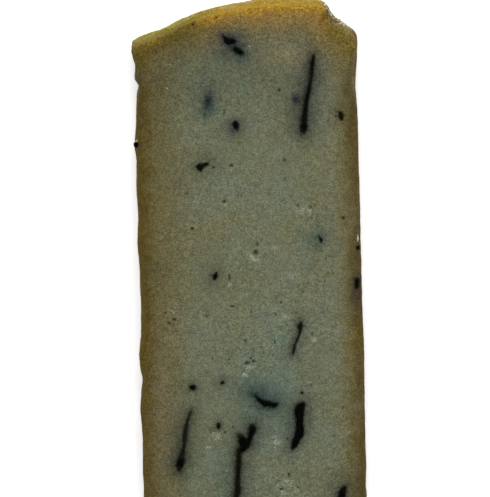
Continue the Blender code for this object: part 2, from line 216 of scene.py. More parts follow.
# Soft stains in the paste, by kind: (across, along, half width, half length, strength), and for
# some their turn in degrees.
STAINS = {
    "tan": [(15, 61, 10, 4, 0.45, -6), (25.5, 54, 3.5, 5.5, 0.2), (29.2, -28.5, 2.6, 3.5, 0.25)],
    "ochre": [
        (26.5, 25, 3, 14, 0.12), (26.5, -40, 3, 22, 0.12), (-17.5, 4, 6, 22, 0.2),
        (-30, 62, 5, 3.5, 0.25, 15),
    ],
    "honey": [
        (-31.4, -31, 1.6, 13, 0.28), (-30.8, -24, 2.6, 6.5, 0.6), (-30.9, -39.8, 2.5, 3, 0.7),
        (-31.4, -52, 1.7, 3.2, 0.4), (-30, 60, 2.8, 3.4, 0.6), (31.3, -24, 1.4, 7, 0.35),
    ],
    "pale": [
        (31.7, 52, 1, 3, 0.5), (-27, -44, 3.4, 25, 0.2), (-20, -41, 6, 3.2, 0.2),
        (-22, -23, 4, 4, 0.15), (29.8, 13.5, 2.2, 8, 0.2), (30.5, -44, 2.4, 3.8, 0.2),
    ],
    "mint": [
        (-6.5, 43.4, 3.4, 1.8, 0.22), (8.4, -22.5, 2.6, 3.2, 0.3), (0.5, -46.2, 3, 2.2, 0.16),
        (7, -15, 4, 2.6, 0.16),
    ],
    "aqua": [
        (4, -42, 16, 22, 0.3), (-8.5, -60, 12, 12, 0.25), (9, -24, 3.4, 3.5, 0.35, 15),
        (16.5, 5, 3, 7, 0.28), (19.5, 43, 2.4, 8, 0.2),
    ],
    "teal": [
        (-1.4, 59.6, 1.9, 1.8, 0.5), (-11.7, 44, 1.5, 2.8, 0.62, -15),
        (-9.3, 45, 1.9, 1.2, 0.85, 20), (0.2, 58.5, 3, 3, 0.2, 30), (20.1, 7.1, 1.9, 2.1, 0.5, 10),
        (20.8, 9.4, 1.5, 1.2, 0.25), (1.4, -38, 6, 4.5, 0.45, -25), (-8.5, -66, 3.2, 6, 0.2),
        (-18.9, -59.2, 0.9, 1, 0.6), (-1.5, 67, 4.5, 2.6, 0.32),
    ],
    "violet": [
        (-10.8, 48.5, 4.4, 6, 0.42), (15.2, 47, 4.6, 6, 0.3), (-20.8, -55, 3.5, 7, 0.26),
        (-6, 62.8, 3.2, 3.2, 0.52), (0.2, 61.4, 1.1, 1.5, 0.35), (-10.2, 50.4, 0.9, 1.5, 0.75),
        (-10.75, 48, 1.9, 3.4, 0.45), (14.6, 47.8, 1.6, 1.7, 1), (14.2, 49.3, 1.4, 1.2, 0.5),
        (13.9, 45.4, 1.7, 2.4, 0.45, -20), (20.9, 53.5, 1, 2.6, 0.2), (3, -37.8, 1.8, 2, 0.25),
        (12, -22, 1.2, 1.6, 0.15), (15.4, -22.5, 1, 2.2, 0.18), (14.5, -29.5, 3.5, 5, 0.05, 15),
        (-1.7, -60, 1.8, 4.2, 0.2), (16.6, -47, 1.2, 4.5, 0.35), (10.9, -49, 1.8, 5, 0.36),
        (-21.9, -52, 1, 4.5, 0.15, 6), (31.6, -9.5, 0.9, 2.6, 0.85), (30.6, -10.5, 1.8, 4, 0.5),
        (30.8, 1.5, 1.6, 3, 0.16), (-31.2, 35.2, 0.9, 1.2, 0.4), (0.5, 61.8, 2, 2, 0.15),
        (0.3, -54.2, 1.4, 2.4, 0.3),
    ],
    "smoke": [
        (11.5, 30, 1.8, 1.6, 0.2), (-12, -49.5, 1.4, 1.6, 0.25), (4.5, -26.5, 2, 2, 0.13),
        (20, -26, 1.8, 1.8, 0.2),
    ],
    "blue": [
        (-10.9, 47.7, 1.5, 2.4, 1, -8), (-1.2, -37.4, 2.3, 2.3, 0.4, -25),
        (-0.1, -38.6, 0.7, 0.7, 0.75), (0.5, -39.4, 0.6, 0.7, 0.8),
        (1.2, -42.3, 2.6, 1.6, 0.4, -20), (-22.3, -62.4, 1.9, 1.2, 0.25),
    ],
    "olive": [
        (-12, 43.8, 0.5, 0.7, 0.55), (-30.8, 56.5, 1.8, 3.2, 0.32), (-28, -2, 6, 2.6, 0.17),
        (30.8, 61, 1.8, 2.8, 0.28), (30.2, 30, 2.2, 2.4, 0.2), (31, -67, 2, 4.5, 0.14),
        (-30.6, 44, 2, 4, 0.16),
    ],
    "brown": [
        # The brown stain at across 24.15 is painted shadow along the step at the rim's notch.
        (24.15, 72.3, 0.4, 1.6, 0.95), (31.2, -8.4, 1.3, 1.8, 0.5), (23, 71.4, 0.8, 2.4, 0.7, -25),
    ],
    "dark": [
        # The dark stains at (-14.7, 70.4), (-8, 72.3) and (9.8, 50.6) are painted shade in holes.
        (-11.1, 47.7, 0.7, 1.2, 0.4, -10), (14.3, 47.5, 0.6, 0.7, 0.45),
        # The dark stain at across 24.15 is painted shadow along the step at the rim's notch.
        (24.15, 72.6, 0.2, 1.1, 0.6), (32.1, 6.2, 0.25, 1.5, 0.5), (-14.7, 70.4, 0.5, 0.45, 1),
        (-8, 72.3, 0.4, 0.35, 0.75), (9.8, 50.6, 0.35, 0.35, 0.7),
    ],
}

# Painted shadow on the rim's wall, along the step at its notch, on the lower shoulder right of it
# and at the right corner, by kind: (across, up, half width, half height, strength).
PAINTED_WALL_SHADOWS = {
    "olive": [(26.6, 8.5, 1.2, 2.5, 0.6), (29.8, 8, 1, 1.5, 0.35), (25.4, 10.5, 0.6, 1.5, 0.35)],
    "brown": [(24.2, 11, 0.4, 3.5, 1), (31.9, 9, 0.9, 6, 0.6)],
    "dark": [(24.15, 12.5, 0.25, 2.5, 0.8)],
}

# Torn flakes on the wall of the rim's notch: (across, up, width).
RIM_FLAKES = [
    (23.4, 7.5, 0.6), (23.7, 5, 1), (24.1, 8, 0.6), (24.3, 4, 0.6), (24.8, 9.5, 0.5),
    (24.8, 6, 0.9), (25.2, 8.5, 0.75), (25.4, 4.4, 0.8), (25.9, 6.6, 0.5), (26.5, 3.6, 0.6),
    (27.2, 5.4, 0.6), (27.7, 3, 0.75), (28.1, 7, 0.7), (28.4, 4.6, 1), (28.9, 6.4, 0.6),
    (29.3, 3.6, 0.7), (27.6, 9, 0.5), (26.9, 11, 0.35), (29.9, 5.2, 0.5),
]

# Patches that the knife tore up: (across, along, half width, half length, strength).
TORN = [
    (0.9, 1.2, 1.6, 1.2, 1), (2.6, 0, 0.9, 0.8, 0.7), (-5.9, -6.8, 0.8, 0.8, 0.9),
    (14.6, 15, 1.8, 1.2, 0.8), (17.6, 14.6, 1.5, 1, 0.8), (-6.6, 16.9, 1.2, 0.8, 0.7),
    (-0.5, -31.2, 1.5, 1, 0.9), (-2, -33.3, 1, 0.8, 0.9), (18.3, -23.4, 0.8, 1.1, 1),
    (9.8, -65.3, 1.8, 1.3, 0.85), (12.4, -68.2, 0.9, 0.8, 0.8), (8, -68.9, 1.4, 1, 0.85),
    (6.9, -53.8, 1.5, 1.4, 0.9), (-10.9, -51, 1.8, 1.6, 0.8), (-12.6, -52.4, 0.6, 0.6, 1.1),
    (-13.1, -54.4, 1, 0.8, 0.8), (12, -4.5, 3, 1.8, 0.6), (9.5, -16.5, 2.4, 1.6, 0.65),
    (-4.6, 27.5, 1, 0.6, 0.7), (7.5, 3.8, 3, 1.2, 0.5), (-22, -14, 3, 2, 0.5),
    (1.5, -14.8, 0.9, 0.7, 0.7), (-7.8, -61.6, 0.5, 0.5, 0.9), (-12.8, 29.8, 1.6, 0.8, 0.35),
    (5, -25, 2.6, 1.6, 0.5), (24, -33, 2, 2.4, 0.45), (-26, 8, 2, 2.4, 0.4),
]

# Single bright flecks: (across, along, width).
FLECKS = [
    (1.55, 63.65, 0.4), (1.3, 63.9, 0.25), (-22.6, 51.9, 0.55), (-21.6, 59, 0.4),
    # The fleck at (-31.6, 36.4) is a painted highlight on top of the grain that stands out of the
    # left rind.
    (-12.55, -52.35, 0.75), (-31.6, 36.4, 0.9), (-7.7, -61.6, 0.45), (18.2, -23.2, 0.7),
    (-5.9, -6.7, 0.6), (1.3, 0.9, 0.8), (0.5, 1.7, 0.6), (-2.2, -33.1, 0.8), (6.8, -53.4, 0.6),
    (10.2, -65, 0.6), (8, -69, 0.7), (-6.2, -1.6, 0.4),
]

# The grain of mushroom that stands out of the left rind, and the loose sliver at the right edge.
EDGE_GRAIN = (-31.75, 35.2, 13.9)
EDGE_GRAIN_WIDTH = 1.9
SLIVER = [(31.6, 7.4, 0.3), (31.55, 6.7, 0.65), (31.5, 5.9, 0.7), (31.5, 5.2, 0.3)]

# ---- camera and light

PHOTO_HEIGHT = 497  # pixels
MM_PER_PIXEL = 0.2895
CAMERA_TILT = math.radians(12)  # the camera leans over the rim's end by this much
CAMERA_ROLL = math.radians(1.33)
CAMERA_DISTANCE = 5600  # far off, because the photo shows next to no perspective
AIM_ACROSS = -1.16  # where the photo's centre falls, across and along in the picture's plane
AIM_ALONG = 0.86

# Lamps: (azimuth, elevation, distance in metres, size in metres, power). Azimuth 0 is over the
# rim's end, and 90 is to its right.
LAMPS = {"key": (4, 52, 1.6, 0.7, 13), "fill": (180, 75, 1.6, 1.2, 3)}
WORLD_STRENGTH = 0.58
FLOOR_REACH = 4.0  # metres
FLOOR_DROP = 0.02  # how far the floor lies below the slice
FLOOR_GLOW = 0.35  # lifts the slice's own soft shadow, as on a light table


def srgb(red, green, blue):
    """A colour as a screen shows it, 0 to 255, as the linear colour that shaders take."""
    def linear(value):
        value /= 255
        return value / 12.92 if value <= 0.04045 else ((value + 0.055) / 1.055) ** 2.4
    return (linear(red), linear(green), linear(blue), 1.0)


# ---- small maths


def smooth_step(value, low=0.0, high=1.0):
    share = np.clip((value - low) / (high - low), 0, 1)
    return share * share * (3 - 2 * share)


def bell(distance, width):
    """1 in the middle, falling smoothly to next to nothing two widths away."""
    return np.exp(-((distance / width) ** 2))


def spot(across, along, half_width, half_length):
    """An oval spot's strength at offsets from its middle: 1 there, and soft at the edges."""
    return np.exp(-((across / half_width) ** 2) - (along / half_length) ** 2)


def noise_at(points, size, shift=0.0):
    """Smooth noise from about -1 to 1, whose lumps are about size across."""
    offset = Vector((shift, 2 * shift, 3 * shift))
    return np.array([noise.noise(Vector(p) + offset) for p in points / size])


def layered(points, layers):
    """The sum of several noises, each given as (height, size, shift)."""
    return sum(height * noise_at(points, size, shift) for height, size, shift in layers)


def rotate(x, y, degrees=0):
    turn = math.radians(degrees)
    return x * math.cos(turn) + y * math.sin(turn), y * math.cos(turn) - x * math.sin(turn)


def flat(points):
    """The same points with no height."""
    return np.column_stack((points[:, 0], points[:, 1], np.zeros(len(points))))


def nearest_on_path(points, path):
    """How far points lie from a path's edge, and how wide the path is there."""
    best = np.full(len(points), np.inf)
    best_width = np.zeros(len(points))
    for (x0, y0, w0), (x1, y1, w1) in zip(path, path[1:]):
        step = np.array((x1 - x0, y1 - y0))
        offset = points[:, :2] - (x0, y0)
        share = np.clip(offset @ step / (step @ step), 0, 1)
        width = w0 + (w1 - w0) * share
        gap = np.linalg.norm(offset - share[:, None] * step, axis=1) - width / 2
        best_width = np.where(gap < best, width, best_width)
        best = np.minimum(best, gap)
    return best, best_width


def path_distance(points, path):
    return nearest_on_path(points, path)[0]


# ---- the slice's form


def rim_drop(x):
    """How far the rim lies behind its farthest point, with the profile's corners eased."""
    eased = [np.interp(x + shift * RIM_SOFTNESS, *RIM_PROFILE.T) for shift in (-1, -0.5, 0, 0.5, 1)]
    return sum(eased) / len(eased)


def face_wave(points):
    return FACE_WAVE * noise_at(flat(points), FACE_WAVE_LENGTH)


def rim_depth(points):
    """How far points lie behind the rim's foot, over its wall and on along the face."""
    x = np.linspace(BLOCK_LOW[0], BLOCK_HIGH[0], RIM_OUTLINE_POINTS)
    outline = np.column_stack((x, BLOCK_HIGH[1] - rim_drop(x), np.zeros(len(x))))
    inside = points[:, 1] < BLOCK_HIGH[1] - rim_drop(points[:, 0])
    level = np.where(inside, path_distance(points, outline.tolist()), 0)
    return level * math.cos(CAMERA_TILT) + points[:, 2] * math.sin(CAMERA_TILT)


def near_rim(y):
    return np.maximum(0, 1 - (BLOCK_HIGH[1] - y) / RIM_BLEND)


def rounded(points):
    """Pulls points on the plain block onto the block with rounded edges."""
    core = np.clip(points, BLOCK_LOW + LOW_ROUND, BLOCK_HIGH - HIGH_ROUND)
    radii = np.where(points < core, LOW_ROUND, HIGH_ROUND)
    out = (points - core) / radii
    length = np.linalg.norm(out, axis=1, keepdims=True)
    return core + radii * out / np.where(length > 0, length, 1)


def rind_inset(x, y):
    """How far the nearer flat rind lies inside the block's side."""
    return np.where(x < 0, np.interp(y, *LEFT_PROFILE.T), np.interp(y, *RIGHT_PROFILE.T))


def shaped(points):
    """Gives points of the rounded block the slice's own outline and waves."""
    x, y, z = points.T
    y = y - rim_drop(x) * near_rim(y)
    near_rind = smooth_step(1 - (BLOCK_HIGH[0] - np.abs(x)) / INSET_REACH)
    near_rind = near_rind * smooth_step(z, 0, FOOT_FADE)
    wave = RIND_WAVE * noise_at(np.column_stack((x, y, z)), RIND_WAVE_LENGTH)
    x = x - np.sign(x) * (rind_inset(x, y) - wave) * near_rind
    z = z + face_wave(np.column_stack((x, y, z))) * smooth_step(z / THICKNESS)
    return np.column_stack((x, y, z))


COARSE_CUTS = (24, 66, 5)
FINE_CUTS = (64, 148, 15)
EDGE_CUTS = 2  # the least number of cuts over a rounded edge
FINER_ABOVE = 0.62 * THICKNESS  # the mesh is twice as fine above this height
FACE_DEPTH = 1.5  # what lies less than this below the block's top counts as the shown face
HOLE_MARGIN = 0.5  # how far round a hole and a shred the mesh is finest
SHRED_MARGIN = 0.6
TORN_MARGIN = 1.3  # the same for a torn patch, in its own sizes


def stations(unit, axis, segments):
    """Places along an axis of cuts whose unit coordinates run from -1 to 1."""
    low, high = BLOCK_LOW[axis], BLOCK_HIGH[axis]
    edge = max(EDGE_CUTS, round(HIGH_ROUND[axis] * segments / (high - low)))
    known = (0, edge, segments - edge, segments)
    places = (low, low + LOW_ROUND[axis], high - HIGH_ROUND[axis], high)
    return np.interp((unit + 1) / 2 * segments, known, places)


def block_mesh(cuts):
    """A cube from -1 to 1, cut into a grid."""
    bm = bmesh.new()
    bmesh.ops.create_cube(bm, size=2)
    for axis, segments in enumerate(cuts):
        along_axis = [e for e in bm.edges if abs((e.verts[0].co - e.verts[1].co)[axis]) > 1]
        bmesh.ops.subdivide_edges(bm, edges=along_axis, cuts=segments - 1, use_grid_fill=True)
    return bm


def vertex_places(bm):
    return np.array([v.co for v in bm.verts], float)


def move_vertices(bm, points):
    for vertex, point in zip(bm.verts, points):
        vertex.co = point


def plain_block(cuts):
    """The grid's points on the plain block, closer together over its rounded edges."""
    bm = block_mesh(cuts)
    unit = vertex_places(bm).T
    bm.free()
    return np.column_stack([stations(unit[axis], axis, cuts[axis]) for axis in range(3)])


def box_shift():
    """What moves this script's slice onto the frame's, whose box is centred on the origin."""
    low, high = (np.array(corner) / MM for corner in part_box("cheese_slice"))
    own = shaped(rounded(plain_block(COARSE_CUTS)))
    return ((low + high) / 2 - (own.min(0) + own.max(0)) / 2) * (1, 1, 0)


def refine(bm, wanted):
    """Halves the edges whose middle, on the finished form, is wanted."""
    bm.edges.ensure_lookup_table()
    middles = np.array([(e.verts[0].co + e.verts[1].co) / 2 for e in bm.edges], float)
    chosen = wanted(shaped(rounded(middles)))
    edges = [e for e, keep in zip(bm.edges, chosen) if keep]
    bmesh.ops.subdivide_edges(bm, edges=edges, cuts=1, use_grid_fill=True)


def on_face(points):
    return points[:, 2] > THICKNESS - FACE_DEPTH


def near_features(points):
    """Where the finest mesh is needed: round the holes, shreds and torn patches of the face."""
    close = np.zeros(len(points), bool)
    x, y = points[:, 0], points[:, 1]
    for hole_x, hole_y, wide, tall, _ in HOLES:
        close |= np.hypot(x - hole_x, y - hole_y) < max(wide, tall) + HOLE_MARGIN
    for path, _ in SHREDS.values():
        close |= path_distance(points, path) < SHRED_MARGIN
    for torn_x, torn_y, half_width, half_length, _ in TORN:
        reach = np.hypot((x - torn_x) / half_width, (y - torn_y) / half_length)
        close |= reach < TORN_MARGIN
    return close & on_face(points)


# ---- the slice's relief

# Noises, as (height, size, shift).
FACE_GRAIN = [(0.10, 7.0, 3.1), (0.05, 2.2, 5.3), (0.035, 0.95, 9.7)]
RIND_WRINKLES = [(0.11, 3.5, 11.9), (0.06, 1.3, 2.3)]
RIND_DENTS = [(1.0, 5.5, 8.1)]
TORN_RAGS = [(1.0, 0.5, 21.3), (0.6, 1.2, 3.9)]
STAIN_MOTTLE = [(0.45, 0.8, 6.6)]
HOLE_ROUGHNESS = [(1.0, 0.8, 4.4)]

RIND_CREASE = (4.2, 17.3)  # the size and shift of the noise that creases follow
CREASE_STRETCH = (1, 0.7, 1.4)
CREASE_WIDTH = 0.22
CREASE_DEPTH = 0.16
DENT_DEPTH = 0.30
RIND_LOW = (2.8, 5.5)  # how far below the cut face creases and dents begin, and are whole
RIND_SINK = 0.06
FOOT_SINK = 0.12
TORN_RISE = 0.12
TORN_CLEAR = 0.05  # below this strength nothing is torn
TORN_EDGE = (0.3, 0.85)

# A hole's reach is 0 in its middle and 1 at its edge.
HOLE_RAGS = 0.35
HOLE_WALL = (0.35, 1.15)
HOLE_DEPTH = 0.55  # as a share of its width
LIP_MIDDLE, LIP_WIDTH = 1.5, 0.35
LIP_SHARE = 0.6

SHRED_DIP = 0.10  # how deep the paste sinks along a shred, and how far out
SHRED_DIP_REACH = 0.35

# Parts of the slice by the way they face, as ranges of one component of the normal.
FACE_SLOPE = (0.55, 0.9)
FOOT_SLOPE = (0.6, 0.9)
TOP_SLOPE = (0.1, 0.7)
RIND_SLOPE = (0.75, 0.95)
BOX_MARGIN = 0.02


def random_pores(rng):
    """Pores scattered over a cut face, clear of its edges."""
    x = rng.uniform(*PORE_ACROSS, PORES)
    y = rng.uniform(*PORE_ALONG, PORES)
    width = rng.uniform(*PORE_WIDTH, PORES)
    tall = width * rng.uniform(*PORE_STRETCH, PORES)
    lip = rng.uniform(*PORE_LIP, PORES)
    return list(zip(x, y, width, tall, lip))


def carve(places, chosen, height, dark, holes, rough):
    """Sinks holes into the chosen points, raises their lips and paints shade into their bottoms."""
    for x, y, wide, tall, lip in holes:
        across, along = (places[chosen] - (x, y)).T
        close = np.hypot(across, along) < 3 * max(wide, tall)
        near, across, along = chosen[close], across[close], along[close] / (tall / 2)
        reach = np.hypot(across / (wide / 2), along) * (1 + HOLE_RAGS * rough[near])
        inside = 1 - smooth_step(reach, *HOLE_WALL)
        below = np.clip(-along, -0.5, 1.5) + 0.5
        ring = bell(reach - LIP_MIDDLE, LIP_WIDTH)
        height[near] += lip * ring * below * LIP_SHARE - HOLE_DEPTH * min(wide, tall) * inside
        dark[near] = np.maximum(dark[near], inside * min(1, wide))


def torn_share(points):
    """Where the knife tore the paste up, from 0 to 1, in ragged patches."""
    share = np.zeros(len(points))
    for x, y, half_width, half_length, strength in TORN:
        patch = spot(points[:, 0] - x, points[:, 1] - y, half_width, half_length)
        share = np.maximum(share, strength * patch)
    near = np.flatnonzero(share > TORN_CLEAR)
    ragged = layered(flat(points[near]), TORN_RAGS)
    share[near] = smooth_step(share[near] + 0.55 * ragged, *TORN_EDGE)
    share[share <= TORN_CLEAR] = 0
    return share


def rind_relief(points):
    """Leathery wrinkles of the rind, which are deeper below its upper edge."""
    low = smooth_step(THICKNESS - points[:, 2], *RIND_LOW)
    crease_noise = noise_at(points * CREASE_STRETCH, *RIND_CREASE)
    creases = 1 - np.clip(np.abs(crease_noise) / CREASE_WIDTH, 0, 1)
    dents = np.clip(layered(points, RIND_DENTS) + 0.1, 0, 1)
    wrinkles = layered(points, RIND_WRINKLES) - RIND_SINK
    return wrinkles - low * (CREASE_DEPTH * creases + DENT_DEPTH * dents)


def slice_relief(points, normals, torn, rng):
    """How far each point moves out along its normal, and the painted shade of the hole it is in."""
    up = normals[:, 2]
    shown = smooth_step(up, *FACE_SLOPE)
    hidden = smooth_step(-up, *FACE_SLOPE)
    foot = smooth_step(-normals[:, 1], *FOOT_SLOPE)
    skin = 1 - np.clip(shown + hidden + foot, 0, 1)
    height = np.zeros(len(points))
    dark = np.zeros(len(points))
    rough = layered(points, HOLE_ROUGHNESS)
    top = np.flatnonzero(on_face(points) & (up > 0.3))
    carve(points[:, :2], top, height, dark, HOLES + random_pores(rng), rough)
    under = np.flatnonzero(hidden > 0.5)
    carve(points[:, :2], under, height, dark, random_pores(rng), rough)
    height[under] = np.minimum(height[under], 0)
    for path, _ in SHREDS.values():
        near = np.maximum(path_distance(points[top], path), 0)
        height[top] -= SHRED_DIP * bell(near, SHRED_DIP_REACH)
    grain = layered(points, FACE_GRAIN)
    height += shown * (grain + TORN_RISE * torn * (1 + rough))
    height += foot * (grain - FOOT_SINK) + skin * rind_relief(points)
    return height, dark


# ---- the slice's stains

WALL_REACH = 15  # how far behind the rim's farthest point its wall goes
FRINGE_REACH = 0.36  # how far the dark fringe of a shred goes into the paste
FRINGE_WIDTH = 0.9  # shreds narrower than this have a narrower fringe
FAR_HALO = 1.6  # how much farther a shred's shifted stain goes than its own one
UMBER_FROM = 0.4  # a shred at least this brown has a brown fringe


def raise_mask(masks, kind, values):
    masks[kind] = np.maximum(masks[kind], values)


def shred_stains(masks, points, mottle, on_top):
    """Adds the stains round the shreds to the masks."""
    for name, (path, (reach, kind, strength, *shift)) in SHREDS.items():
        near, width = nearest_on_path(points, path)
        near = np.maximum(near, 0)
        far = np.maximum(path_distance(points[:, :2] - (shift or (0, 0)), path), 0)
        halo = 0.5 * np.exp(-near / reach) + 0.5 * np.exp(-far / (FAR_HALO * reach))
        raise_mask(masks, kind, strength * halo * (0.3 + 0.7 * mottle) * on_top)
        fringe_reach = FRINGE_REACH * np.clip(width / FRINGE_WIDTH, 0.45, 1) * mottle
        fringe = np.exp(-((near / fringe_reach) ** 1.5)) * on_top
        raise_mask(masks, "umber" if SHRED_BROWN.get(name, 0) > UMBER_FROM else "dark", fringe)


def stain_masks(points, on_top):
    """How strongly each kind of stain and of painted shadow colours each point."""
    masks = {kind: np.zeros(len(points)) for kind in STAIN_COLOURS}
    for kind, stains in STAINS.items():
        for x, y, half_width, half_length, strength, *turn in stains:
            across, along = rotate(points[:, 0] - x, points[:, 1] - y, *turn)
            stain = spot(across, along, half_width, half_length)
            raise_mask(masks, kind, strength * stain * on_top)
    # Painted shadow on the rim's wall, laid on in the colours of the stains.
    on_wall = (1 - on_top) * (points[:, 1] > BLOCK_HIGH[1] - WALL_REACH)
    for kind, stains in PAINTED_WALL_SHADOWS.items():
        for x, z, half_width, half_height, strength in stains:
            stain = spot(points[:, 0] - x, points[:, 2] - z, half_width, half_height)
            raise_mask(masks, kind, strength * stain * on_wall)
    mottle = np.clip(1 + layered(flat(points), STAIN_MOTTLE), 0.5, 1.5)
    shred_stains(masks, points, mottle, on_top)
    return masks


# ---- meshes


def set_attribute(mesh, name, values):
    attribute = mesh.attributes.new(name, "FLOAT", "POINT")
    attribute.data.foreach_set("value", np.asarray(values, np.float32))


def kept_in_box(points):
    """Points on the frame held inside the solid's own box."""
    low, high = (np.array(corner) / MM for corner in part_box("cheese_slice"))
    return np.clip(points, low + (BOX_MARGIN, BOX_MARGIN, 0), high - BOX_MARGIN)


def finished_mesh(bm, name, surface):
    mesh = bpy.data.meshes.new(name)
    bm.to_mesh(mesh)
    bm.free()
    mesh.materials.append(surface)
    return mesh


def link(name, data):
    made = bpy.data.objects.new(name, data)
    bpy.context.scene.collection.objects.link(made)
    return made


def make_slice(shift, surface):
    """The slice itself: the solid's form with relief, stains and torn patches."""
    rng = np.random.default_rng(SEED)
    bm = block_mesh(FINE_CUTS)
    move_vertices(bm, plain_block(FINE_CUTS))
    refine(bm, lambda points: points[:, 2] > FINER_ABOVE)
    refine(bm, near_features)
    points = shaped(rounded(vertex_places(bm)))
    move_vertices(bm, points)
    bmesh.ops.recalc_face_normals(bm, faces=bm.faces)
    bm.normal_update()
    normals = np.array([v.normal for v in bm.verts], float)
    on_top = smooth_step(normals[:, 2], *TOP_SLOPE)
    torn = torn_share(points) * on_top
    height, dark = slice_relief(points, normals, torn, rng)
    relief = points + normals * height[:, None]
    move_vertices(bm, kept_in_box(relief + shift) * MM)
    mesh = finished_mesh(bm, "raclette_slice", surface)
    mesh.shade_smooth()
    for kind, mask in stain_masks(points, on_top).items():
        set_attribute(mesh, "stain_" + kind, mask)
    set_attribute(mesh, "side_depth", BLOCK_HIGH[0] - np.abs(points[:, 0]))
    set_attribute(mesh, "rim_depth", rim_depth(points))
    set_attribute(mesh, "rind", smooth_step(np.abs(normals[:, 0]), *RIND_SLOPE))
    # The hole mask carries the painted shade in the holes.
    set_attribute(mesh, "hole", dark)
    set_attribute(mesh, "torn", torn)
    piece = link("raclette_slice", mesh)
    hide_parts("cheese_slice")
    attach(piece, "root")


class Shape:
    """Vertices and faces gathered for one small piece."""

    def __init__(self):
        self.vertices, self.faces = [], []

    def add_tube(self, rings):
        """Adds a closed tube through rings of points."""
        start = len(self.vertices)
        count, sides = rings.shape[:2]
        self.vertices.extend(rings.reshape(-1, 3))
        for i in range(count - 1):
            for k in range(sides):
                a, b = start + i * sides + k, start + i * sides + (k + 1) % sides
                self.faces.append((a, b, b + sides, a + sides))
        self.faces.append(tuple(start + k for k in reversed(range(sides))))
        self.faces.append(tuple(start + (count - 1) * sides + k for k in range(sides)))

    def add_lump(self, centre, width, flatness, seed):
        """Adds a small irregular lump."""
        bm = bmesh.new()
        bmesh.ops.create_icosphere(bm, subdivisions=2, radius=width / 2)
        points = vertex_places(bm)
        start = len(self.vertices)
        self.faces.extend(tuple(start + v.index for v in f.verts) for f in bm.faces)
        bm.free()
        points *= 1 + 0.5 * noise_at(points / width, 0.5, seed)[:, None]
        points[:, 2] *= flatness
        self.vertices.extend(points + centre)

    def add_crumb(self, x, y, width, flatness, rng):
        """Adds a lump that lies on the shown cut face."""
        place = on_surface(np.array([[x, y, 0]]))[0]
        self.add_lump(place, width, flatness, rng.uniform(*LUMP_SEEDS))

    def finished(self, name, surface, slot_name, shift):
        """The piece, which rides on the slice."""
        points = kept_in_box(np.array(self.vertices) + shift) * MM
        plain = bpy.data.meshes.new(name)
        plain.from_pydata(points.tolist(), [], self.faces)
        bm = bmesh.new()
        bm.from_mesh(plain)
        bpy.data.meshes.remove(plain)
        bmesh.ops.recalc_face_normals(bm, faces=bm.faces)
        mesh = finished_mesh(bm, name, surface)
        mesh.shade_smooth()
        piece = link(name, mesh)
        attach(piece, "root")
        return piece


# ---- shreds, crumbs and flakes

SHRED_STEP = 0.22
SHRED_SIDES = 14
SHRED_RISE = 0.16
SHRED_SINK = 0.5
SHRED_THINNEST = 0.07  # half the width of the thinnest strand
BARE_EDGE = 0.16  # how much narrower a shred is than its path, a side, as the fringe makes it up
SHRED_TAPER = 0.45  # how long its ends taper, as a share of its width
FRINGE_SHARE = 0.5  # the share of a shred's steps at which a bit stands out of its edge
FRINGE_PLACE = (0.6, 0.95)  # how far out the bits lie, from the middle to the edge
FRINGE_BIT = (0.18, 0.42)
FRINGE_FLATNESS = 0.35
CRUMB_WIDTH = (0.2, 0.5)
CRUMBS_PER_AREA = 5
CRUMB_FLATNESS = 0.4
FLECK_FLATNESS = 0.5
LUMP_SEEDS = (0, 50)
FLAKE_BRIGHTNESS = 0.5
SLIVER_BRIGHTNESS = 0.8


def spline(path):
    """Points a small step apart on a smooth curve through the path's own points."""
    knots = np.array([path[0], *path, path[-1]])
    made = []
    for i in range(len(path) - 1):
        a, b, c, d = knots[i:i + 4]
        steps = max(2, round(np.linalg.norm((c - b)[:2]) / SHRED_STEP))
        for t in np.arange(steps) / steps:
            made.append(0.5 * (2 * b + (c - a) * t + (2 * a - 5 * b + 4 * c - d) * t * t
                               + (3 * b - a - 3 * c + d) * t ** 3))
    made.append(knots[-1])
    return np.array(made)


def directions(line):
    """The unit direction of a line seen from above, at each of its points."""
    along = np.gradient(line[:, :2], axis=0)
    return along / np.linalg.norm(along, axis=1, keepdims=True)


def edge_fall(points):
    """How far the rounded edge lies below the cut face."""
    inset = rind_inset(points[:, 0], points[:, 1])
    core = BLOCK_HIGH[0] - HIGH_ROUND[0]
    over = np.clip((np.abs(points[:, 0]) + inset - core) / HIGH_ROUND[0], 0, 0.97)
    return HIGH_ROUND[2] * (1 - np.sqrt(1 - over ** 2))


def on_surface(points):
    """The same points, moved up or down onto the shown cut face."""
    height = THICKNESS + face_wave(points) - edge_fall(points)
    return np.column_stack((points[:, :2], height))


def shred_rings(path, seed):
    """Rings of points round a ragged, flattened strand that lies half sunk in the face."""
    line = spline(path)
    centre = on_surface(flat(line))
    along = directions(centre)
    side = np.column_stack((along[:, 1], -along[:, 0], np.zeros(len(line))))
    ends = np.minimum(np.arange(len(line)), np.arange(len(line))[::-1]) * SHRED_STEP
    half = np.maximum(line[:, 2] / 2 - BARE_EDGE, SHRED_THINNEST)
    half = half * np.sqrt(np.clip(ends / (SHRED_TAPER * line[:, 2].mean()) + 0.05, 0, 1))
    thick = np.clip(half / 0.6, 0.4, 1)
    rings = []
    for k in range(SHRED_SIDES):
        angle = 2 * math.pi * k / SHRED_SIDES
        out = side * math.cos(angle)
        ragged = 1 + layered(centre + out * 2, [(0.42, 0.75, seed)])
        ragged += layered(centre + out * 3, [(0.30, 0.33, seed + 5)])
        bumpy = 1 + layered(centre + out, [(0.8, 0.6, seed + 9)])
        lift = SHRED_RISE if math.sin(angle) > 0 else SHRED_SINK
        ring = centre + side * (math.cos(angle) * half * np.clip(ragged, 0.4, 1.6))[:, None]
        ring[:, 2] += math.sin(angle) * lift * thick * np.clip(bumpy, 0.2, 2)
        rings.append(ring)
    return np.stack(rings, axis=1)


def width_near(points, path):
    """The width of the shred beside each point."""
    line = spline(path)
    gaps = np.linalg.norm(points[:, None, :2] - line[None, :, :2], axis=2)
    return line[gaps.argmin(axis=1), 2]


